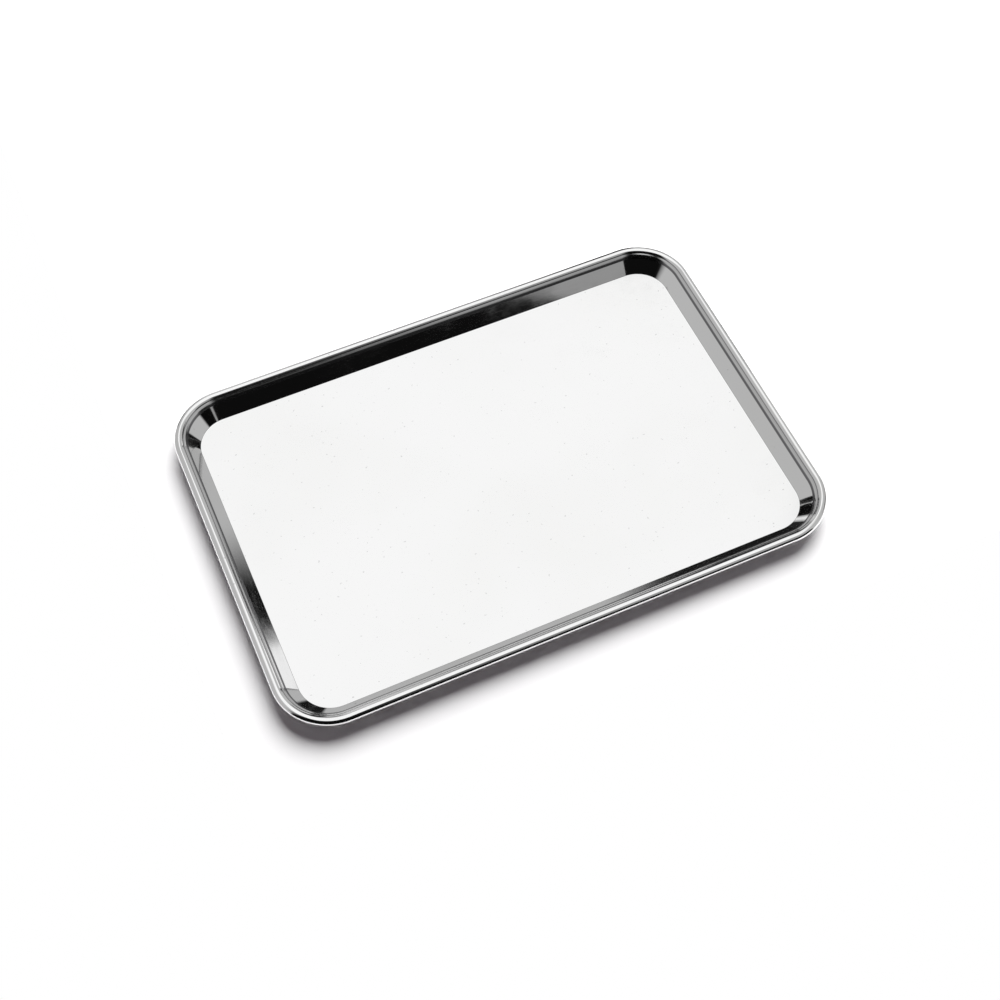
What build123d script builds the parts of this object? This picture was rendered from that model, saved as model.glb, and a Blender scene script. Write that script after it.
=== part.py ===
from build123d import *
from math import acos, cos, degrees, radians, sin
import os

# Rimmed stainless steel tray, of the kind used for counting and carrying tablets and small instruments.
# One sheet is drawn into a shallow pan with sloping walls. Near the top the wall eases over into a narrow
# shoulder, and the edge is then curled round a hoop of steel wire, which stiffens the rim and hides the
# raw edge. The hoop is one length of wire, bent to the rim's outline, with its ends butted at the rear.
# Frame: +X along the tray, +Y across it, +Z up. The origin is the centre of the underside.
# All sizes are in millimetres and degrees.

# Overall sizes
LENGTH = 325.0
WIDTH = 225.0
HEIGHT = 12.0
CORNER_RADIUS = 32.5  # outer edge of the bead, seen from above

# The sheet and its wire
SHEET = 0.8
WIRE_DIAMETER = 4.0
WIRE_PLAY = 0.02  # between the wire and the curl round it
BUTT_GAP = 0.3  # between the wire's two ends

# The cross-section. Bend radii are at the middle of the sheet.
WALL_ANGLE = 51.0  # above the floor
FLOOR_BEND = 0.6  # floor to wall
SHOULDER_BEND = 1.6  # wall to shoulder
SHOULDER_ANGLE = 33.0  # above the floor
SHOULDER_FLAT = 0.8  # width of the shoulder along its slope
SHOULDER_LEVEL = 10.15  # middle of the sheet at the shoulder's outer end, above the table
BEAD_ROOT_BEND = 1.4  # shoulder up into the bead
CURL_END = 195.0  # where the raw edge lies round the wire, counter-clockwise from outwards

# Worked out from the sizes above
HALF_SHEET = SHEET / 2
WIRE_RADIUS = WIRE_DIAMETER / 2
CURL_BEND = WIRE_RADIUS + WIRE_PLAY + HALF_SHEET
BEAD_RADIUS = CURL_BEND + HALF_SHEET
BEAD_LEVEL = HEIGHT - BEAD_RADIUS
ROOT_CENTRE_LEVEL = SHOULDER_LEVEL + BEAD_ROOT_BEND * cos(radians(SHOULDER_ANGLE))
ROOT_ANGLE = degrees(acos((ROOT_CENTRE_LEVEL - BEAD_LEVEL) / (CURL_BEND + BEAD_ROOT_BEND)))
CURL_TURN = 90.0 + ROOT_ANGLE + 360.0 - CURL_END
FLOOR_BEND_RISE = FLOOR_BEND * (1 - cos(radians(WALL_ANGLE)))
SHOULDER_BEND_RISE = SHOULDER_BEND * (cos(radians(SHOULDER_ANGLE)) - cos(radians(WALL_ANGLE)))
SHOULDER_RISE = SHOULDER_BEND_RISE + SHOULDER_FLAT * sin(radians(SHOULDER_ANGLE))
WALL_FLAT = (SHOULDER_LEVEL - HALF_SHEET - FLOOR_BEND_RISE - SHOULDER_RISE) / sin(radians(WALL_ANGLE))

# The strip from the floor's edge outwards, as (length, 0) for a flat and (radius, turn) for a bend.
# A positive turn is upwards.
STRIP = [
    (FLOOR_BEND, WALL_ANGLE),
    (WALL_FLAT, 0),
    (SHOULDER_BEND, SHOULDER_ANGLE - WALL_ANGLE),
    (SHOULDER_FLAT, 0),
    (BEAD_ROOT_BEND, ROOT_ANGLE - SHOULDER_ANGLE),
    (CURL_BEND, -CURL_TURN),
]


def strip_point(u, z, heading, side):
    """A point on the strip's upper face (side 1), middle (0) or lower face (-1)."""
    reach = side * HALF_SHEET
    return Vector(u - reach * sin(heading), 0, z + reach * cos(heading))


def walk(u, z, heading, size, turn):
    """Where the middle of the sheet comes to after one flat or bend."""
    if turn == 0:
        return u + size * cos(heading), z + size * sin(heading), heading
    left = 1 if turn > 0 else -1
    later = heading + radians(turn)
    return u + left * size * (sin(later) - sin(heading)), z - left * size * (cos(later) - cos(heading)), later


def sheet_section():
    """The strip's cross-section in the XZ plane, with the floor's edge at X = 0, and the bead's middle."""
    upper, lower = [], []
    place = (0.0, HALF_SHEET, 0.0)
    for size, turn in STRIP:
        halfway = walk(*place, size if turn else size / 2, turn / 2)
        after = walk(*place, size, turn)
        for edges, side in ((upper, 1), (lower, -1)):
            ends = [strip_point(*at, side) for at in (place, halfway, after)]
            edges.append(ThreePointArc(*ends) if turn else Line(ends[0], ends[2]))
        place = after
    first = Line(upper[0] @ 0, lower[0] @ 0)
    last = Line(upper[-1] @ 1, lower[-1] @ 1)
    return Face(Wire([*upper, last, *lower, first]))


def bead_middle():
    """How far out from the floor's edge the middle of the bead lies."""
    place = (0.0, HALF_SHEET, 0.0)
    for size, turn in STRIP[:-1]:
        place = walk(*place, size, turn)
    return place[0] + CURL_BEND * sin(place[2])


def carry_round(section, half_length, half_width, radius):
    """Carries a section, drawn with the outline at X = 0, round a rectangle with round corners."""
    straights = ((half_length, half_width - radius), (half_width, half_length - radius)) * 2
    corners = ((1, 1), (-1, 1), (-1, -1), (1, -1))
    pieces = []
    for quarter, ((reach, half_run), (right, back)) in enumerate(zip(straights, corners)):
        turned = Rot(0, 0, 90 * quarter)
        side = extrude(Pos(reach, -half_run, 0) * section, 2 * half_run, dir=(0, 1, 0))
        pieces.append(turned * side)
        centre = Pos(right * (half_length - radius), back * (half_width - radius), 0)
        bend = revolve(Pos(radius, 0, 0) * section, Axis.Z, 90)
        pieces.append(centre * turned * bend)
    return pieces


# Plan sizes of the flat floor
BEAD_MIDDLE = bead_middle()
FLOOR_INSET = BEAD_MIDDLE + BEAD_RADIUS
FLOOR_HALF_LENGTH = LENGTH / 2 - FLOOR_INSET
FLOOR_HALF_WIDTH = WIDTH / 2 - FLOOR_INSET
FLOOR_RADIUS = CORNER_RADIUS - FLOOR_INSET


def tray_pan():
    """The one drawn sheet: floor, walls, shoulder and curled rim."""
    floor_outline = RectangleRounded(2 * FLOOR_HALF_LENGTH, 2 * FLOOR_HALF_WIDTH, FLOOR_RADIUS)
    floor = extrude(floor_outline, SHEET)
    rim = carry_round(sheet_section(), FLOOR_HALF_LENGTH, FLOOR_HALF_WIDTH, FLOOR_RADIUS)
    return floor.fuse(*rim).clean()


def rim_wire():
    """The hoop inside the curl, with its ends butted at the middle of the rear side."""
    middle = Pos(BEAD_MIDDLE, 0, BEAD_LEVEL)
    section = middle * (Plane.XZ * Circle(WIRE_RADIUS)).face()
    runs = carry_round(section, FLOOR_HALF_LENGTH, FLOOR_HALF_WIDTH, FLOOR_RADIUS)
    hoop = runs[0].fuse(*runs[1:]).clean()
    butt = Pos(0, FLOOR_HALF_WIDTH + BEAD_MIDDLE, BEAD_LEVEL)
    return hoop - butt * Box(BUTT_GAP, 2 * WIRE_DIAMETER, 2 * WIRE_DIAMETER)


os.makedirs("parts", exist_ok=True)
for name, make in (("tray_pan", tray_pan), ("rim_wire", rim_wire)):
    piece = make()
    size = piece.bounding_box().size
    print(f"{name}: {size.X:.2f} x {size.Y:.2f} x {size.Z:.2f} mm, {piece.volume / 1000:.2f} cm3")
    export_step(piece, f"parts/{name}.step")
print(f"flat floor {2 * FLOOR_HALF_LENGTH:.2f} x {2 * FLOOR_HALF_WIDTH:.2f} mm, corners {FLOOR_RADIUS:.2f}")
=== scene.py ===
# %% [markdown]
# # A rimmed steel tray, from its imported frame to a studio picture
#
# This lesson dresses a small pressed steel tray, of the kind a pharmacy counts tablets on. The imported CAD
# model is the frame: it says where the sheet and its rim wire are, and how large. We rebuild both as fine
# meshes in the same place, give them a polished and a drawn-wire finish, and light them as a studio would.
# The first lines load the frame. Everything after is in metres, with +Z up and the tray's underside at zero.

# %% Load the frame
from math import acos, cos, pi, radians, sin

import bpy
from mathutils import Matrix, Vector


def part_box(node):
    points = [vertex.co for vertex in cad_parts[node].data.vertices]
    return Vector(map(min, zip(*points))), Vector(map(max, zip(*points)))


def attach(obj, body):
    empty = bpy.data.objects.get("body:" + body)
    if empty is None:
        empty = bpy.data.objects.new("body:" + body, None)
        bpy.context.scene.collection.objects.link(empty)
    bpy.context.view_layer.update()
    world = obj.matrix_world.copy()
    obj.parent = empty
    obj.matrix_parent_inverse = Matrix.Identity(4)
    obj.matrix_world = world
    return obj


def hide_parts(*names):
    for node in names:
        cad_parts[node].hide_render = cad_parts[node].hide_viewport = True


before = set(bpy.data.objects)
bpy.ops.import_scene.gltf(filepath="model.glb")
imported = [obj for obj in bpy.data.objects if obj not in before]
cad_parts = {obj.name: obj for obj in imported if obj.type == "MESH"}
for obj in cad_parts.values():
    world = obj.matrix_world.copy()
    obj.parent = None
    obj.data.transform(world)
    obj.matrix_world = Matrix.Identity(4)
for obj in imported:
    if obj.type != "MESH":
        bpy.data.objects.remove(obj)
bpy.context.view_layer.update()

MM = 0.001
pan_low, pan_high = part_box("tray_pan")
wire_low, wire_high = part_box("rim_wire")
length, width, height = pan_high - pan_low
print(f"frame: {sorted(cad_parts)}, {length / MM:.1f} x {width / MM:.1f} x {height / MM:.1f} mm")

# %% [markdown]
# ## The camera
# The tray is seen from in front and to its left, from well above. A longer lens from nearly a metre away
# keeps its long sides almost parallel, as a catalogue picture does. We write the camera as an orbit: how far
# round, how far up, how far off, and how much it is tipped to one side. It shows nothing nearer than a
# hundredth of its distance, or further than a hundred times it.

# %% Camera
CAMERA_AROUND = -23.15
CAMERA_UP = 58.57
CAMERA_TIP = -0.85
CAMERA_DISTANCE = 0.8777
CAMERA_AIM = Vector((-5.45, -17.45, 0.8)) * MM
CAMERA_LENS = 56.23
CAMERA_CLIP = 100


def orbit_camera(around, up, tip, distance, aim, lens):
    """A camera on an orbit round a point. Angles are in degrees; tip leans it clockwise."""
    turn, rise, lean = radians(around), radians(up), radians(tip)
    back = Vector((sin(turn) * cos(rise), -cos(turn) * cos(rise), sin(rise)))
    level = Vector((cos(turn), sin(turn), 0.0))
    upright = back.cross(level)
    right = level * cos(lean) + upright * sin(lean)
    top = upright * cos(lean) - level * sin(lean)
    camera = bpy.data.objects.new("camera", bpy.data.cameras.new("camera"))
    camera.data.lens = lens
    camera.data.clip_start = distance / CAMERA_CLIP
    camera.data.clip_end = distance * CAMERA_CLIP
    axes = Matrix((right, top, back)).transposed().to_4x4()
    camera.matrix_world = Matrix.Translation(aim + back * distance) @ axes
    bpy.context.scene.collection.objects.link(camera)
    return camera


camera = orbit_camera(CAMERA_AROUND, CAMERA_UP, CAMERA_TIP, CAMERA_DISTANCE, CAMERA_AIM, CAMERA_LENS)
bpy.context.scene.camera = camera
print(f"camera: {camera.location.length:.3f} m from the tray's middle, {CAMERA_LENS} mm lens")

# %% [markdown]
# ## The sheet's section
# The pan is one sheet, so one drawing of its cut edge says nearly everything about it. A press bends the
# sheet up into a wall, eases it over into a narrow shoulder, turns it up again, and curls it round a wire. We
# walk along the middle of the sheet as a die maker would: so far straight, then a bend of this radius through
# that angle. Each side of the sheet is half a thickness away from that walk.
#
# A polished surface shows every fault in its shading, because smooth shading blends the directions of
# neighbouring faces. So each flat gets a holding point close to each of its ends. These keep the flat's
# reflection flat, and leave the turning to the bends.
#
# Each stretch also says how well a buffing wheel reaches it: fully on the wall and on the bead, a little less
# at the shoulder, and hardly at all in the tight fold at the foot of the wall and in the groove behind the
# bead. The finish reads that number later, for the roughness and for painted shade: the less the wheel
# reaches, the darker the colour painted in, standing for the shade in the folds.

# %% Section of the sheet
SHEET = 0.8 * MM
WALL_ANGLE = radians(51.0)
FLOOR_BEND = 0.6 * MM
SHOULDER_BEND = 1.6 * MM
SHOULDER_ANGLE = radians(33.0)
SHOULDER_FLAT = 0.8 * MM
SHOULDER_LEVEL = 10.15 * MM
ROOT_BEND = 1.4 * MM
CURL_END = radians(195.0)
BEND_STEP = radians(6.0)
HOLD = 0.06 * MM

bead_level = (wire_low.z + wire_high.z) / 2
bead_radius = pan_high.z - bead_level
curl_bend = bead_radius - SHEET / 2
root_centre_level = SHOULDER_LEVEL + ROOT_BEND * cos(SHOULDER_ANGLE)
root_angle = acos((root_centre_level - bead_level) / (curl_bend + ROOT_BEND))
curl_turn = pi / 2 + root_angle + 2 * pi - CURL_END
floor_bend_rise = FLOOR_BEND * (1 - cos(WALL_ANGLE))
shoulder_rise = SHOULDER_BEND * (cos(SHOULDER_ANGLE) - cos(WALL_ANGLE)) + SHOULDER_FLAT * sin(SHOULDER_ANGLE)
wall_flat = (SHOULDER_LEVEL - SHEET / 2 - floor_bend_rise - shoulder_rise) / sin(WALL_ANGLE)

# (length or bend radius, turn, how well the wheel reaches it, which also sets the painted fold shade)
strip = [
    (FLOOR_BEND, WALL_ANGLE, 0.1),
    (wall_flat, 0.0, 1.0),
    (SHOULDER_BEND, SHOULDER_ANGLE - WALL_ANGLE, 0.8),
    (SHOULDER_FLAT, 0.0, 0.7),
    (ROOT_BEND, root_angle - SHOULDER_ANGLE, 0.0),
    (curl_bend, -curl_turn, 1.0),
]


def walk(place, size, turn):
    """One flat, or one bend of radius size, from a place of (out, up, heading)."""
    out, up, heading = place
    if turn == 0.0:
        return out + size * cos(heading), up + size * sin(heading), heading
    left = size if turn > 0 else -size
    later = heading + turn
    return out + left * (sin(later) - sin(heading)), up - left * (cos(later) - cos(heading)), later


def stops(size, turn):
    """How far along a flat or a bend the sheet gets a point: shares of it, without its start."""
    if turn == 0.0:
        return [HOLD / size, 0.5, 1 - HOLD / size, 1.0]
    steps = round(abs(turn) / BEND_STEP)
    return [number / steps for number in range(1, steps + 1)]


def walk_strip():
    """Every stop from the floor's edge to the raw edge in the curl, with its distance and its polish."""
    places = [(0.0, SHEET / 2, 0.0)]
    distances = [0.0]
    polish = [1.0]
    for size, turn, reach in strip:
        begin, walked = places[-1], distances[-1]
        for share in stops(size, turn):
            places.append(walk(begin, size if turn else size * share, turn * share))
            distances.append(walked + share * (size * abs(turn) if turn else size))
            polish.append(reach)
    return places, distances, polish


def beside(place, reach):
    """The point a reach away from the middle of the sheet, on its upper side if that is positive."""
    out, up, heading = place
    return Vector((out - reach * sin(heading), up + reach * cos(heading), 0.0))


places, distances, polish = walk_strip()
curl_start = places[-len(stops(curl_bend, curl_turn)) - 1]
bead_out = curl_start[0] + curl_bend * sin(curl_start[2])
floor_inset = bead_out + bead_radius
print(f"section: {len(places)} stops, wall flat {wall_flat / MM:.2f} mm, bead {floor_inset / MM:.2f} mm out")

# %% [markdown]
# ## A tree that carries the section round
# The tray's shape follows one rule: take the section and carry it round a rectangle with round corners. We
# could extrude four sides, spin four corners and join them, but Geometry Nodes state the rule itself.
# A tree is built here in code, so a few helpers come first: one starts a tree, one adds a node and joins its
# inputs, and the rest are short names for the nodes used most.

# %% Helpers for building node trees
GEOMETRY, OBJECT, FLOAT, INTEGER, MATERIAL = (
    "NodeSocketGeometry",
    "NodeSocketObject",
    "NodeSocketFloat",
    "NodeSocketInt",
    "NodeSocketMaterial",
)


def start_tree(name, inputs):
    """A geometry tree with named inputs and one mesh output."""
    tree = bpy.data.node_groups.new(name, "GeometryNodeTree")
    tree.is_modifier = True
    for label, kind in inputs:
        tree.interface.new_socket(label, in_out="INPUT", socket_type=kind)
    tree.interface.new_socket("Mesh", in_out="OUTPUT", socket_type=GEOMETRY)
    return tree


def add(tree, kind, inputs=(), **settings):
    """A node with its settings made and its inputs joined to sockets or filled with values."""
    node = tree.nodes.new(kind)
    for name, value in settings.items():
        setattr(node, name, value)
    for key, value in dict(inputs).items():
        socket = node.inputs[key]
        if isinstance(value, bpy.types.NodeSocket):
            tree.links.new(value, socket)
        else:
            socket.default_value = value
    return node


def sums(tree, operation, *values):
    """One maths node, named by its operation."""
    return add(tree, "ShaderNodeMath", enumerate(values), operation=operation).outputs[0]


def vectors(tree, operation, *values, scale=None):
    """One vector maths node, named by its operation."""
    inputs = dict(enumerate(values))
    if scale is not None:
        inputs["Scale"] = scale
    return add(tree, "ShaderNodeVectorMath", inputs, operation=operation).outputs[0]


def vector_of(tree, x=0.0, y=0.0, z=0.0):
    return add(tree, "ShaderNodeCombineXYZ", {"X": x, "Y": y, "Z": z}).outputs[0]


def parts_of(tree, vector):
    """The X, Y and Z of a vector."""
    return add(tree, "ShaderNodeSeparateXYZ", {0: vector}).outputs


# %% [markdown]
# A tree also has to read numbers from the section's points, write numbers that the finish will read, and end
# the same way each time: shaded smooth, with no instances left and with its finish on. Once it has run, we
# take its result as a plain mesh, so that no live modifier is left behind.

# %% Helpers for reading, writing and running a tree
def from_row(tree, section, row, value, kind):
    """A value of the section's point that belongs to this row of the tube."""
    inputs = {"Geometry": section, "Value": value, "Index": row}
    return add(tree, "GeometryNodeSampleIndex", inputs, data_type=kind, domain="POINT").outputs[0]


def read(tree, label):
    """A named number of each point."""
    return add(tree, "GeometryNodeInputNamedAttribute", {"Name": label}, data_type="FLOAT").outputs[0]


def store(tree, geometry, label, value, kind, domain):
    """Writes a named attribute, for the finish to read."""
    inputs = {"Geometry": geometry, "Name": label, "Value": value}
    return add(tree, "GeometryNodeStoreNamedAttribute", inputs, data_type=kind, domain=domain).outputs[0]


def end_tree(tree, mesh, finish):
    """Shades the mesh smooth, makes it real, puts its finish on and sends it out."""
    smooth = add(tree, "GeometryNodeSetShadeSmooth", {"Geometry": mesh}).outputs[0]
    real = add(tree, "GeometryNodeRealizeInstances", {"Geometry": smooth}).outputs[0]
    finished = add(tree, "GeometryNodeSetMaterial", {"Geometry": real, "Material": finish})
    tree.links.new(finished.outputs[0], tree.nodes.new("NodeGroupOutput").inputs[0])
    return tree


def apply_tree(name, tree, values):
    """Runs a tree on an empty mesh and returns the result as a plain mesh object with no modifier."""
    seed = bpy.data.objects.new("seed", bpy.data.meshes.new("seed"))
    bpy.context.scene.collection.objects.link(seed)
    modifier = seed.modifiers.new(name, "NODES")
    modifier.node_group = tree
    identifiers = {item.name: item.identifier for item in tree.interface.items_tree}
    for label, value in values.items():
        modifier[identifiers[label]] = value
    bpy.context.view_layer.update()
    evaluated = seed.evaluated_get(bpy.context.evaluated_depsgraph_get())
    mesh = bpy.data.meshes.new_from_object(evaluated)
    mesh.name = name
    bpy.data.objects.remove(seed)
    piece = bpy.data.objects.new(name, mesh)
    bpy.context.scene.collection.objects.link(piece)
    return piece


# %% [markdown]
# The tree starts from a tube of plain rings, one ring for each point of the section and one column for each
# stop round the rim, and moves every point to its place. Outside the floor's edge a point goes straight out
# from the rim's outline. Inside it, the rings shrink towards a line along the middle of the tray, so that the
# floor is made of the same rings as the wall, with no seam between them.
#
# The outline is counted in quarters, each with one corner and then one straight side. Division inside a tree
# is not exact, so half is added to a number before it is divided and rounded down.

# %% Places round the rim
QUARTERS = 4.0
QUARTER_TURN = pi / 2


def counted(tree, number, size):
    """Which group of this size a number falls in, and its place within the group."""
    group = sums(tree, "FLOOR", sums(tree, "DIVIDE", sums(tree, "ADD", number, 0.5), size))
    return group, sums(tree, "SUBTRACT", number, sums(tree, "MULTIPLY", group, size))


def corner_middle(tree, quarter, reach_x, reach_y):
    """The middle of one corner's arc. Quarters are counted from the corner at +X and +Y."""
    half_way = sums(tree, "MULTIPLY_ADD", quarter, QUARTER_TURN, QUARTER_TURN / 2)
    side_x = sums(tree, "SIGN", sums(tree, "COSINE", half_way))
    side_y = sums(tree, "SIGN", sums(tree, "SINE", half_way))
    return vector_of(tree, sums(tree, "MULTIPLY", side_x, reach_x), sums(tree, "MULTIPLY", side_y, reach_y))


def rim_stop(tree, column, corner_steps, side_steps, reach, radius):
    """The outline at one stop round the rim, and the way outwards there."""
    quarter, stop = counted(tree, column, sums(tree, "ADD", corner_steps, side_steps))
    round_share = sums(tree, "MINIMUM", sums(tree, "DIVIDE", stop, corner_steps), 1.0)
    side_stop = sums(tree, "SUBTRACT", stop, corner_steps)
    side_share = sums(tree, "MAXIMUM", sums(tree, "DIVIDE", side_stop, side_steps), 0.0)
    here = corner_middle(tree, quarter, *reach)
    after = corner_middle(tree, sums(tree, "ADD", quarter, 1.0), *reach)
    way = vectors(tree, "SUBTRACT", after, here)
    middle = vectors(tree, "ADD", here, vectors(tree, "SCALE", way, scale=side_share))
    angle = sums(tree, "MULTIPLY", sums(tree, "ADD", quarter, round_share), QUARTER_TURN)
    outwards = vector_of(tree, sums(tree, "COSINE", angle), sums(tree, "SINE", angle))
    edge = vectors(tree, "ADD", middle, vectors(tree, "SCALE", outwards, scale=radius))
    return edge, outwards


def way_inwards(tree, edge, spine_end):
    """The way from the outline to the nearest point of a line along the middle of the tray."""
    spine_back = sums(tree, "MULTIPLY", spine_end, -1.0)
    spine_x = sums(tree, "MINIMUM", parts_of(tree, edge)["X"], spine_end)
    spine_x = sums(tree, "MAXIMUM", spine_x, spine_back)
    return vectors(tree, "SUBTRACT", vector_of(tree, spine_x), edge)


def carried(tree, drawn, edge, outwards, inwards, half_width):
    """Where a point drawn at (out, up) goes: out from the outline, or a share of the way inwards."""
    out, up = (parts_of(tree, drawn)[axis] for axis in "XY")
    outside = vectors(tree, "SCALE", outwards, scale=sums(tree, "MAXIMUM", out, 0.0))
    share_in = sums(tree, "DIVIDE", sums(tree, "MINIMUM", out, 0.0), half_width)
    inside = vectors(tree, "SCALE", inwards, scale=sums(tree, "MULTIPLY", share_in, -1.0))
    level = vectors(tree, "ADD", edge, vectors(tree, "ADD", outside, inside))
    return vectors(tree, "ADD", level, vector_of(tree, z=up))


# %% [markdown]
# The tree also writes what the finish needs to know: how far across the section a point is, how well it is
# polished (which also sets its painted shade), and a flat map of the rim, with its length one way and the
# section the other.

# %% The tree itself
JOIN_WITHIN = 0.001 * MM


def carry_round_tree():
    """Carries a section, drawn as points of (out, up), round a rectangle with round corners."""
    labels = ("Half length", "Half width", "Corner radius")
    inputs = [("Section", OBJECT), *((label, FLOAT) for label in labels)]
    inputs += [("Corner steps", INTEGER), ("Side steps", INTEGER), ("Finish", MATERIAL)]
    tree = start_tree("carry_round", inputs)
    given = tree.nodes.new("NodeGroupInput").outputs
    half_length, half_width, radius = (given[label] for label in labels)
    steps = (given["Corner steps"], given["Side steps"])

    section = add(tree, "GeometryNodeObjectInfo", {"Object": given["Section"]}).outputs["Geometry"]
    points = add(tree, "GeometryNodeAttributeDomainSize", {"Geometry": section}).outputs["Point Count"]
    columns = sums(tree, "MULTIPLY", sums(tree, "ADD", *steps), QUARTERS)
    rings = {"Vertices": columns, "Side Segments": sums(tree, "SUBTRACT", points, 1.0)}
    tube = add(tree, "GeometryNodeMeshCylinder", rings, fill_type="NONE").outputs
    row, column = counted(tree, add(tree, "GeometryNodeInputIndex").outputs[0], columns)

    reach = [sums(tree, "SUBTRACT", half, radius) for half in (half_length, half_width)]
    edge, outwards = rim_stop(tree, column, *steps, reach, radius)
    inwards = way_inwards(tree, edge, sums(tree, "SUBTRACT", half_length, half_width))
    position = add(tree, "GeometryNodeInputPosition").outputs[0]
    drawn = from_row(tree, section, row, position, "FLOAT_VECTOR")
    place = carried(tree, drawn, edge, outwards, inwards, half_width)
    moved = add(tree, "GeometryNodeSetPosition", {"Geometry": tube["Mesh"], "Position": place}).outputs[0]

    for label in ("across", "polish"):
        value = from_row(tree, section, row, read(tree, label), "FLOAT")
        moved = store(tree, moved, label, value, "FLOAT", "POINT")
    straights = sums(tree, "MULTIPLY", sums(tree, "ADD", *reach), QUARTERS)
    rim_length = sums(tree, "MULTIPLY_ADD", radius, 2 * pi, straights)
    around = sums(tree, "MULTIPLY", parts_of(tree, tube["UV Map"])["X"], rim_length)
    rim_map = vector_of(tree, around, read(tree, "across"))
    moved = store(tree, moved, "rim_map", rim_map, "FLOAT2", "CORNER")
    joining = {"Geometry": moved, "Distance": JOIN_WITHIN}
    joined = add(tree, "GeometryNodeMergeByDistance", joining).outputs[0]
    return end_tree(tree, joined, given["Finish"])


carry_round = carry_round_tree()
print(f"tree carry_round: {len(carry_round.nodes)} nodes")

# %% [markdown]
# ## The polished sheet
# Buffed stainless steel is a mirror, so most of what it shows is the room. What makes it steel and not glass
# is small: hairlines from the buffing wheel and from wiping, a very slight waviness left by the press, faint
# smudges that blur the mirror a little, a few tiny pits, and dull compound that the wheel leaves behind in
# the folds. The folds are also darkened in colour as painted shade.
#
# Two more marks follow. Where the sheet was drawn and stretched, its skin roughens into a fine orange peel.
# And a band of painted shade darkens the top of the wall, just below the shoulder. It is sharp below and
# fades above.
#
# Most of these are noise, each at its own scale. A pattern shows only where its noise passes a first value,
# and shows fully past a second. On the flat floor the hairlines cross at a few angles, as a cloth leaves
# them, so they are drawn from the object's own coordinates. On the walls and the bead the wheel ran along the
# rim, so there they follow the rim's map.

# %% Helpers for finishes
def noise(tree, place, scale, detail=2.0, roughness=0.5):
    """Smooth noise from 0 to 1, this many waves to the metre."""
    inputs = {"Vector": place, "Scale": scale, "Detail": detail, "Roughness": roughness}
    return add(tree, "ShaderNodeTexNoise", inputs).outputs[0]


def stretched(tree, place, size, turn=0.0):
    """A place turned by an angle about the upright and stretched, for patterns with a grain."""
    inputs = {"Vector": place, "Rotation": (0.0, 0.0, turn), "Scale": size}
    return add(tree, "ShaderNodeMapping", inputs, vector_type="TEXTURE").outputs[0]


def step(tree, value, low, high, at_low=0.0, at_high=1.0):
    """A smooth step from one value to another."""
    inputs = {"Value": value, "From Min": low, "From Max": high, "To Min": at_low, "To Max": at_high}
    return add(tree, "ShaderNodeMapRange", inputs, interpolation_type="SMOOTHSTEP").outputs["Result"]


def blend(tree, share, first, second):
    """One number or the other, or a share of each."""
    return add(tree, "ShaderNodeMix", {"Factor": share, 2: first, 3: second}, data_type="FLOAT").outputs[0]


def grey_mix(tree, share, first, second):
    """One colour or the other, or a share of each."""
    inputs = {"Factor": share, 6: first, 7: second}
    return add(tree, "ShaderNodeMix", inputs, data_type="RGBA").outputs[2]


def bump(tree, height, depth, normal=None):
    """A bump of this depth in metres, on top of another one if there is one."""
    inputs = {"Height": height, "Distance": depth, "Strength": 1.0}
    if normal is not None:
        inputs["Normal"] = normal
    return add(tree, "ShaderNodeBump", inputs).outputs[0]


def start_finish(name):
    """A material with its tree and its shader."""
    material = bpy.data.materials.new(name)
    material.use_nodes = True
    return material, material.node_tree, material.node_tree.nodes["Principled BSDF"]


# %% Marks on the polished sheet
HAIRLINE = 0.12 * MM
HAIRLINE_RUN = 9.0 * MM
HAIRLINE_SHOWS = (0.62, 0.74)
WIPE_TURNS = (radians(14.0), radians(-37.0), radians(71.0))
RESIDUE = 0.8 * MM
RESIDUE_RUN = 6.0 * MM
RESIDUE_SHOWS = (0.2, 0.6)
RESIDUE_LEAST = 0.75
# The painted shade band at the top of the wall: how far below the wall's top it starts, where it has faded,
# and how soft its lower edge is.
WALL_SHADE_BAND_LOW = 2.0 * MM
WALL_SHADE_BAND_HIGH = 0.8 * MM
WALL_SHADE_BAND_EDGE = 0.3 * MM

wall_top = FLOOR_BEND * WALL_ANGLE + wall_flat
print(f"wall: {wall_top / MM:.2f} mm from its foot to its top, along the section")


def hairlines(tree, place, turn):
    """Fine parallel scratches along one direction, few and thin."""
    grain = stretched(tree, place, (HAIRLINE_RUN, HAIRLINE, HAIRLINE), turn)
    return step(tree, noise(tree, grain, 1.0, detail=1.0), *HAIRLINE_SHOWS)


def sheet_lines(tree, body, rim, on_rim):
    """A cloth's hairlines at a few angles on the floor, and the wheel's along the rim."""
    wiped = hairlines(tree, body, WIPE_TURNS[0])
    for turn in WIPE_TURNS[1:]:
        wiped = sums(tree, "MAXIMUM", wiped, hairlines(tree, body, turn))
    return blend(tree, on_rim, wiped, hairlines(tree, rim, 0.0))


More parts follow.
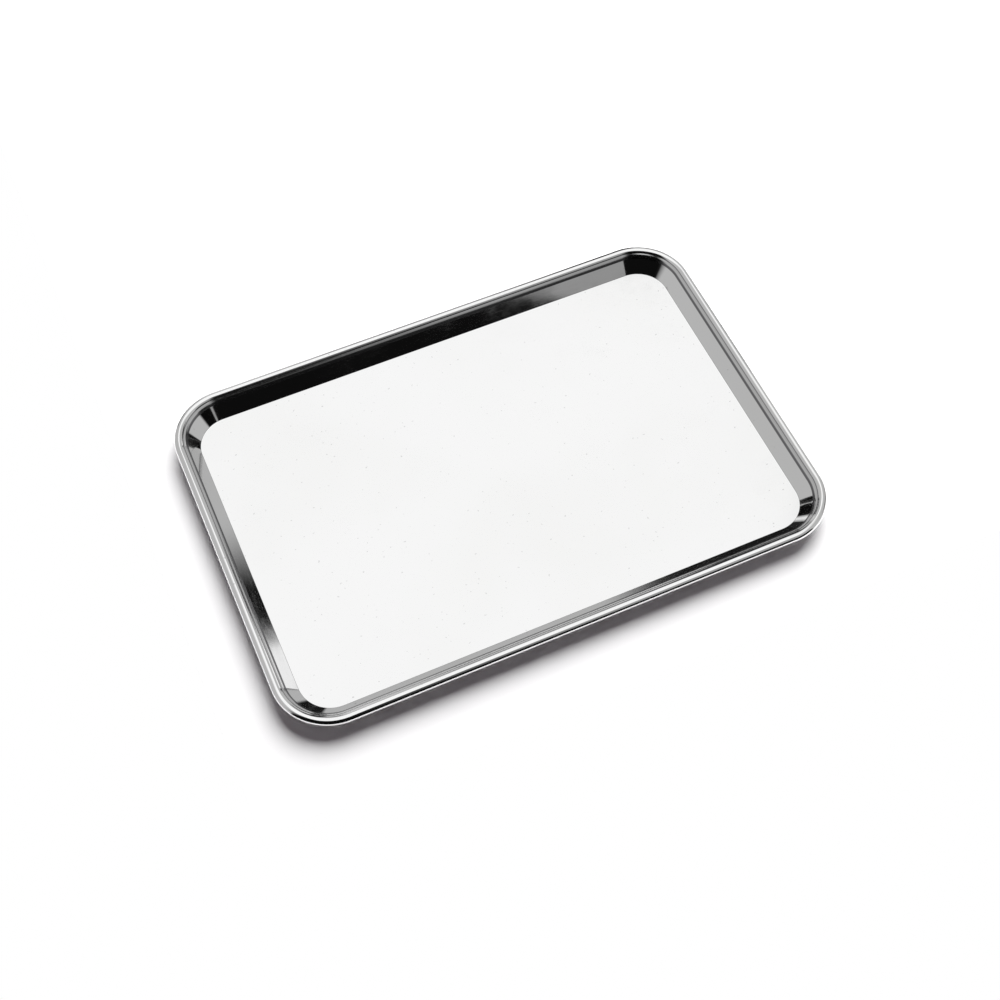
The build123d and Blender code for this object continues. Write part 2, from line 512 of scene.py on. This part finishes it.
def dull_and_painted_shade(tree, rim, across, reach):
    """Uneven compound and painted shade where the wheel hardly reaches, and a painted shade band at the top
    of the wall.
    """
    residue = noise(tree, stretched(tree, rim, (RESIDUE_RUN, RESIDUE, 1.0)), 1.0, detail=3.0)
    uneven = step(tree, residue, *RESIDUE_SHOWS, RESIDUE_LEAST, 1.0)
    # Painted shade in the folds, partly real compound: the less the wheel reaches, the darker the colour.
    fold_shade_and_residue = sums(tree, "MULTIPLY", sums(tree, "SUBTRACT", 1.0, reach), uneven)
    # Painted shade: a dark band at the top of the wall, sharp below and fading above.
    shade_band_low = wall_top - WALL_SHADE_BAND_LOW
    shade_band_edge = step(tree, across, shade_band_low, shade_band_low + WALL_SHADE_BAND_EDGE)
    shade_band_fade = step(tree, across, wall_top - WALL_SHADE_BAND_HIGH, wall_top + WALL_SHADE_BAND_EDGE, 1.0, 0.0)
    return sums(tree, "MAXIMUM", fold_shade_and_residue, sums(tree, "MULTIPLY", shade_band_edge, shade_band_fade))


# %% [markdown]
# The marks now go into one shader. The metal is bright steel, a little warmer in patches. Colour takes the
# pits, roughness takes the smudges, both take the dull places, whose dark colour is painted shade, and a
# shallow bump takes the hairlines, the orange peel and the waviness.

# %% Finish: polished sheet
HAIRLINE_DEPTH = 0.0003 * MM
HAIRLINE_ROUGHNESS = 0.05
RIM_BEGINS = 1.0 * MM
RIPPLE = 38.0
RIPPLE_DEPTH = 0.004 * MM
PEEL = 1400.0
PEEL_DEPTH = 0.0006 * MM
SMUDGE = 26.0
SMUDGE_SHOWS = (0.45, 0.75)
CLEAN_ROUGHNESS = 0.035
SMUDGED_ROUGHNESS = 0.10
DULL_ROUGHNESS = 0.22
BRIGHT_STEEL = (0.925, 0.925, 0.925, 1.0)
WARM_STEEL = (0.905, 0.905, 0.900, 1.0)
WARM_PATCH = SMUDGE / 3
WARM_SHOWS = (0.4, 0.7)
# Dark steel for the pits, and for the painted shade in the folds and at the top of the wall.
DULL_AND_SHADED_STEEL = (0.22, 0.22, 0.225, 1.0)
PIT = 700.0
PIT_SHOWS = (0.83, 0.87)
PIT_SHARE = 0.3


def polished_steel():
    material, tree, shader = start_finish("polished_steel")
    body = add(tree, "ShaderNodeTexCoord").outputs["Object"]
    rim = add(tree, "ShaderNodeUVMap", uv_map="rim_map").outputs[0]
    across = add(tree, "ShaderNodeAttribute", attribute_name="across").outputs["Fac"]
    reach = add(tree, "ShaderNodeAttribute", attribute_name="polish").outputs["Fac"]
    on_rim = step(tree, across, 0.0, RIM_BEGINS)
    lines = sheet_lines(tree, body, rim, on_rim)
    dull_and_shade = dull_and_painted_shade(tree, rim, across, reach)

    smudges = step(tree, noise(tree, body, SMUDGE, detail=4.0, roughness=0.6), *SMUDGE_SHOWS)
    mirror = blend(tree, smudges, CLEAN_ROUGHNESS, SMUDGED_ROUGHNESS)
    grained = sums(tree, "MULTIPLY_ADD", lines, HAIRLINE_ROUGHNESS, mirror)
    tree.links.new(blend(tree, dull_and_shade, grained, DULL_ROUGHNESS), shader.inputs["Roughness"])

    warm = step(tree, noise(tree, body, WARM_PATCH, detail=3.0), *WARM_SHOWS)
    steel = grey_mix(tree, warm, BRIGHT_STEEL, WARM_STEEL)
    pits = step(tree, noise(tree, body, PIT, detail=0.0), *PIT_SHOWS)
    pitted = grey_mix(tree, sums(tree, "MULTIPLY", pits, PIT_SHARE), steel, DULL_AND_SHADED_STEEL)
    # Painted shade: the folds and the band at the top of the wall take the dark steel colour.
    tree.links.new(grey_mix(tree, dull_and_shade, pitted, DULL_AND_SHADED_STEEL), shader.inputs["Base Color"])
    shader.inputs["Metallic"].default_value = 1.0

    waves = bump(tree, noise(tree, body, RIPPLE, detail=1.0), RIPPLE_DEPTH)
    peel = sums(tree, "MULTIPLY", on_rim, noise(tree, body, PEEL))
    skin = bump(tree, peel, PEEL_DEPTH, waves)
    tree.links.new(bump(tree, lines, HAIRLINE_DEPTH, skin), shader.inputs["Normal"])
    return material


polished = polished_steel()
print(f"finish polished_steel: {len(polished.node_tree.nodes)} nodes")

# %% [markdown]
# ## The pan
# The section starts at the middle of the tray, runs out over the floor, up the wall and round the curl on the
# upper side, turns at the raw edge, and comes back to the middle on the lower side. Carried round, it closes
# the sheet into one solid shell with a real thickness and a real raw edge.

# %% Pan
CORNER_RADIUS = 32.5 * MM
CORNER_STEPS = 48
SIDE_STEPS = 20
FLOOR_RINGS = 10

half_length = length / 2 - floor_inset
half_width = width / 2 - floor_inset
floor_radius = CORNER_RADIUS - floor_inset


def row_of_points(name, points, edges=(), **values):
    """Loose points, or a path, for a tree to read, with one named number for each point."""
    mesh = bpy.data.meshes.new(name)
    mesh.from_pydata(points, edges, [])
    for label, numbers in values.items():
        mesh.attributes.new(label, "FLOAT", "POINT").data.foreach_set("value", numbers)
    drawn = bpy.data.objects.new(name, mesh)
    bpy.context.scene.collection.objects.link(drawn)
    return drawn


def pan_section():
    """Floor, wall, shoulder and curl on the upper side, then back along the lower side to the middle."""
    rings = [-half_width * (1 - ring / FLOOR_RINGS) for ring in range(FLOOR_RINGS)] + [-HOLD]
    upper = [Vector((out, SHEET, 0.0)) for out in rings] + [beside(place, SHEET / 2) for place in places]
    lower = [Vector((out, 0.0, 0.0)) for out in rings] + [beside(place, -SHEET / 2) for place in places]
    across = [0.0] * len(rings) + distances
    reach = [1.0] * len(rings) + polish
    values = {"across": across + across[::-1], "polish": reach + reach[::-1]}
    return row_of_points("pan_section", upper + lower[::-1], **values)


pan_points = pan_section()
tray_pan = apply_tree(
    "tray_pan_sheet",
    carry_round,
    {
        "Section": pan_points,
        "Half length": half_length,
        "Half width": half_width,
        "Corner radius": floor_radius,
        "Corner steps": CORNER_STEPS,
        "Side steps": SIDE_STEPS,
        "Finish": polished,
    },
)
bpy.data.objects.remove(pan_points)
print(f"pan: {len(tray_pan.data.vertices)} points, {len(tray_pan.data.polygons)} faces")

# %% [markdown]
# ## The rim wire
# The curl is wrapped round a hoop of drawn wire. It is one length of wire, bent at the four corners, and its
# two ends butt at the middle of the rear side with a hair's gap. It shows only from below, past the raw edge.
#
# This is what Geometry Nodes do best: a path of six points, its four corners rounded by a fillet, and a round
# profile run along it. The tree keeps a map with the wire's length one way and its girth the other, because
# the die lines of drawn wire run along it.

# %% Tree: wire along a path
def wire_tree():
    """A round wire along a path whose corners are bent to one radius."""
    inputs = [("Path", OBJECT), ("Bend radius", FLOAT), ("Bend steps", INTEGER)]
    inputs += [("Wire radius", FLOAT), ("Girth steps", INTEGER), ("Finish", MATERIAL)]
    tree = start_tree("wire_along_path", inputs)
    given = tree.nodes.new("NodeGroupInput").outputs
    path = add(tree, "GeometryNodeObjectInfo", {"Object": given["Path"]}).outputs["Geometry"]
    line = add(tree, "GeometryNodeMeshToCurve", {0: path}).outputs[0]
    bends = {
        "Curve": line,
        "Count": given["Bend steps"],
        "Radius": given["Bend radius"],
        "Limit Radius": True,
    }
    bent = add(tree, "GeometryNodeFilletCurve", bends, mode="POLY").outputs[0]
    ring = {"Resolution": given["Girth steps"], "Radius": given["Wire radius"]}
    profile = add(tree, "GeometryNodeCurvePrimitiveCircle", ring, mode="RADIUS").outputs[0]

    travel = add(tree, "GeometryNodeSplineParameter").outputs
    bent = store(tree, bent, "travel", travel["Length"], "FLOAT", "POINT")
    profile = store(tree, profile, "girth", travel["Length"], "FLOAT", "POINT")
    shape = {"Curve": bent, "Profile Curve": profile, "Fill Caps": True}
    wire = add(tree, "GeometryNodeCurveToMesh", shape).outputs[0]
    wire_map = vector_of(tree, read(tree, "travel"), read(tree, "girth"))
    wire = store(tree, wire, "wire_map", wire_map, "FLOAT2", "CORNER")
    return end_tree(tree, wire, given["Finish"])


wire_along_path = wire_tree()
print(f"tree wire_along_path: {len(wire_along_path.nodes)} nodes")

# %% [markdown]
# Drawn wire is never buffed. It keeps the satin of the die, with long fine lines along it and patches where
# the drawing grease has dulled it, so its finish follows the wire's own map.

# %% Finish: drawn wire
DIE_LINE = 0.08 * MM
DIE_LINE_RUN = 25.0 * MM
DIE_LINE_DEPTH = 0.0006 * MM
DIE_LINE_ROUGHNESS = 0.1
WIRE_BLOTCH = 90.0
WIRE_BLOTCH_SHOWS = (0.35, 0.7)
WIRE_SATIN = 0.28
WIRE_DULL_SATIN = 0.42
WIRE_BRIGHT = (0.56, 0.56, 0.55, 1.0)
WIRE_DULL = (0.40, 0.395, 0.385, 1.0)


def drawn_wire():
    material, tree, shader = start_finish("drawn_wire")
    body = add(tree, "ShaderNodeTexCoord").outputs["Object"]
    along = add(tree, "ShaderNodeUVMap", uv_map="wire_map").outputs[0]
    grain = stretched(tree, along, (DIE_LINE_RUN, DIE_LINE, 1.0))
    lines = noise(tree, grain, 1.0, detail=3.0, roughness=0.6)
    blotches = noise(tree, body, WIRE_BLOTCH, detail=4.0, roughness=0.6)
    blotches = step(tree, blotches, *WIRE_BLOTCH_SHOWS)
    tree.links.new(grey_mix(tree, blotches, WIRE_BRIGHT, WIRE_DULL), shader.inputs["Base Color"])
    satin = blend(tree, blotches, WIRE_SATIN, WIRE_DULL_SATIN)
    satin = sums(tree, "MULTIPLY_ADD", lines, DIE_LINE_ROUGHNESS, satin)
    tree.links.new(satin, shader.inputs["Roughness"])
    shader.inputs["Metallic"].default_value = 1.0
    tree.links.new(bump(tree, lines, DIE_LINE_DEPTH), shader.inputs["Normal"])
    return material


drawn_finish = drawn_wire()
print(f"finish drawn_wire: {len(drawn_finish.node_tree.nodes)} nodes")

# %% [markdown]
# The path's corners are sharp, and the tree bends them to the radius of the bead's middle. Every size but the
# butt gap comes from the frame, the section or the pan's corners, so the wire lies in the middle of the curl.

# %% Rim wire
BUTT_GAP = 0.3 * MM
WIRE_BEND_STEPS = 24
GIRTH_STEPS = 32

wire_radius = (wire_high.z - wire_low.z) / 2
wire_right = half_length + bead_out
wire_back = half_width + bead_out


def wire_path():
    """The corners of the hoop, from one end of the wire at the middle of the rear side to the other."""
    plan = [
        (BUTT_GAP / 2, wire_back),
        (wire_right, wire_back),
        (wire_right, -wire_back),
        (-wire_right, -wire_back),
        (-wire_right, wire_back),
        (-BUTT_GAP / 2, wire_back),
    ]
    points = [(x, y, bead_level) for x, y in plan]
    edges = [(point, point + 1) for point in range(len(points) - 1)]
    return row_of_points("wire_path", points, edges)


path = wire_path()
rim_wire = apply_tree(
    "rim_wire_hoop",
    wire_along_path,
    {
        "Path": path,
        "Bend radius": floor_radius + bead_out,
        "Bend steps": WIRE_BEND_STEPS,
        "Wire radius": wire_radius,
        "Girth steps": GIRTH_STEPS,
        "Finish": drawn_finish,
    },
)
bpy.data.objects.remove(path)
print(f"wire: {len(rim_wire.data.vertices)} points, {2 * wire_radius / MM:.1f} mm thick")

# %% [markdown]
# ## The studio
# A mirror shows the studio more than itself, so the studio is the real work. A catalogue picture of polished
# steel is lit by surfaces, not by lamps: a large white silk overhead fills the flat floor, pale walls stand
# at the sides, a black drape hangs behind the camera so that the far wall reads dark, and thin black flags
# put the dark lines into the side walls that show their slope.
#
# All of these are far away compared with the tray, so they are painted on the world by direction: how far
# round and how far up each one stands, with soft edges. The world is what the steel reflects. The camera
# itself looks past the tray at plain white, and the paper takes only a little of the world's light, because
# one soft lamp from behind on the right gives the tray a short shadow towards the viewer.

# %% World: silk, walls, drape and flags
# Tones are linear, from black at 0 to paper white at 1.
ROOM = 0.49
PAPER_FILL = (0.095, 0.082, 0.092, 1.0)
PLAIN_WHITE = (1.0, 1.0, 1.0, 1.0)
SILK_BOTTOM = 52.0
SILK_FULL = 66.0
SILK = 1.0
HALF_TURN = 180.0
# Each panel is (tone, around, half width, bottom, top, softness around, softness up, lean). Angles are in
# degrees. Around counts clockwise from the rear, up counts from level, and lean is how far the panel leans
# around for each degree up.
PANELS = {
    "drape": (0.003, -165.0, 64.0, -95.0, 25.0, 6.0, 3.0, 0.0),
    "drape_top": (0.004, -150.0, 54.0, 20.0, 64.0, 24.0, 3.0, 0.0),
    "front_card": (0.35, 151.0, 14.0, 27.0, 57.0, 24.0, 4.0, 0.0),
    "slanted_card": (0.30, 161.8, 2.2, 21.5, 26.0, 0.6, 1.2, 1.6),
    "rear_flag": (0.010, 22.5, 4.7, -5.0, 44.0, 3.0, 3.0, 0.05),
    "rear_flag_low": (0.010, 31.0, 10.0, 20.0, 32.0, 5.0, 3.0, 0.0),
    "rear_bar": (0.020, 14.0, 6.0, 20.0, 31.0, 3.0, 3.0, 0.0),
    "left_flag": (0.004, -14.5, 12.0, -5.0, 15.5, 3.0, 2.0, 0.0),
    "side_flag": (0.006, 60.8, 2.4, -5.0, 14.3, 2.8, 1.2, 0.0),
    "rear_gap": (0.85, 2.5, 3.0, 14.0, 20.0, 1.5, 2.0, 0.0),
    "side_card": (0.95, 65.15, 3.4, -5.0, 14.5, 0.8, 1.2, 0.0),
    "corner_flag": (0.003, 85.5, 7.0, -5.0, 25.0, 2.0, 3.0, 0.8),
    "main_silk": (1.00, 23.0, 22.0, 49.5, 95.0, 6.0, 2.0, 0.0),
}


def panel_share(tree, around, up, panel):
    """How much a panel covers each direction, from 0 beside it to 1 within it."""
    centre, half, bottom, top, soft_round, soft_up, lean = panel
    above_middle = sums(tree, "SUBTRACT", up, (bottom + top) / 2)
    leaning = sums(tree, "MULTIPLY_ADD", above_middle, lean, centre)
    away = sums(tree, "WRAP", sums(tree, "SUBTRACT", around, leaning), HALF_TURN, -HALF_TURN)
    off = sums(tree, "ABSOLUTE", away)
    within = step(tree, off, half - soft_round / 2, half + soft_round / 2, 1.0, 0.0)
    above = step(tree, up, bottom - soft_up / 2, bottom + soft_up / 2)
    below = step(tree, up, top - soft_up / 2, top + soft_up / 2, 1.0, 0.0)
    return sums(tree, "MULTIPLY", within, sums(tree, "MULTIPLY", above, below))


def studio_world():
    world = bpy.data.worlds.new("studio")
    world.use_nodes = True
    tree = world.node_tree
    direction = add(tree, "ShaderNodeTexCoord").outputs["Generated"]
    toward = parts_of(tree, direction)
    to_degrees = HALF_TURN / pi
    around = sums(tree, "MULTIPLY", sums(tree, "ARCTAN2", toward["X"], toward["Y"]), to_degrees)
    up = sums(tree, "MULTIPLY", sums(tree, "ARCSINE", toward["Z"]), to_degrees)

    tone = blend(tree, step(tree, up, SILK_BOTTOM, SILK_FULL), ROOM, SILK)
    for shade, *panel in PANELS.values():
        tone = blend(tree, panel_share(tree, around, up, panel), tone, shade)

    rays = add(tree, "ShaderNodeLightPath").outputs
    shown = add(tree, "ShaderNodeCombineColor", {0: tone, 1: tone, 2: tone}).outputs[0]
    fill = grey_mix(tree, rays["Is Glossy Ray"], PAPER_FILL, shown)
    seen = grey_mix(tree, rays["Is Camera Ray"], fill, PLAIN_WHITE)
    tree.links.new(seen, tree.nodes["Background"].inputs["Color"])
    return world


bpy.context.scene.world = studio_world()
bpy.context.scene.view_settings.view_transform = "Standard"
print(f"world: {len(PANELS)} panels, {len(bpy.context.scene.world.node_tree.nodes)} nodes")

# %% [markdown]
# ## Paper and lamp
# The paper is a plain pale sheet, a little rough, with the faintest mottle. It ends just past the shadow in
# front and on the left, so that the outer side of the bead shows the dark drape there and not more paper.

# %% Paper
PAPER_LEFT, PAPER_RIGHT = -0.193, 0.6
PAPER_FRONT, PAPER_BACK = -0.148, 0.6
PAPER_TONE = (0.90, 0.90, 0.90, 1.0)
PAPER_MOTTLE = 400.0
PAPER_MOTTLE_SHOWS = (0.3, 0.7)
PAPER_ROUGHNESS = (0.85, 0.95)
PAPER_GLOSS = 0.1


def paper_floor():
    mesh = bpy.data.meshes.new("paper_floor")
    left, right, front, back = PAPER_LEFT, PAPER_RIGHT, PAPER_FRONT, PAPER_BACK
    corners = [(left, front, 0.0), (right, front, 0.0), (right, back, 0.0), (left, back, 0.0)]
    mesh.from_pydata(corners, [], [(0, 1, 2, 3)])
    floor = bpy.data.objects.new("paper_floor", mesh)
    bpy.context.scene.collection.objects.link(floor)
    material, tree, shader = start_finish("pale_paper")
    body = add(tree, "ShaderNodeTexCoord").outputs["Object"]
    mottle = noise(tree, body, PAPER_MOTTLE, detail=3.0)
    mottle = step(tree, mottle, *PAPER_MOTTLE_SHOWS, *PAPER_ROUGHNESS)
    tree.links.new(mottle, shader.inputs["Roughness"])
    shader.inputs["Base Color"].default_value = PAPER_TONE
    shader.inputs["Specular IOR Level"].default_value = PAPER_GLOSS
    mesh.materials.append(material)
    return floor


studio = paper_floor()
print(f"paper: {studio.dimensions.x:.2f} x {studio.dimensions.y:.2f} m")

# %% [markdown]
# The lamp is a wide soft disc. Its width against its distance sets how soft the shadow's edge is, and its
# height sets how far the shadow reaches: a little more than the height of the rim. The steel doesn't show the
# lamp, only the silk.

# %% Lamp
LAMP_AROUND = radians(37.0)
LAMP_UP = radians(39.5)
LAMP_DISTANCE = 3.0
LAMP_WIDTH = 3.7
LAMP_POWER = 265.0


def soft_lamp():
    light = bpy.data.lights.new("soft_lamp", "AREA")
    light.shape = "DISK"
    light.size = LAMP_WIDTH
    light.energy = LAMP_POWER
    lamp = bpy.data.objects.new("soft_lamp", light)
    level = cos(LAMP_UP)
    toward = Vector((sin(LAMP_AROUND) * level, cos(LAMP_AROUND) * level, sin(LAMP_UP)))
    turned = toward.to_track_quat("Z", "Y").to_matrix().to_4x4()
    lamp.matrix_world = Matrix.Translation(toward * LAMP_DISTANCE) @ turned
    lamp.visible_glossy = False
    bpy.context.scene.collection.objects.link(lamp)
    return lamp


lamp = soft_lamp()
print(f"lamp: {LAMP_WIDTH} m wide at {lamp.location.length:.1f} m")

# %% [markdown]
# ## Fasten the pieces and finish
# Nothing on this tray moves, so both pieces ride on its one body. Each takes the place of its CAD node, which
# is hidden.

# %% Fasten and finish
for piece, node, slot in ((tray_pan, "tray_pan", "polished_steel"), (rim_wire, "rim_wire", "wire_steel")):
    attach(piece, "root")
    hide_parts(node)
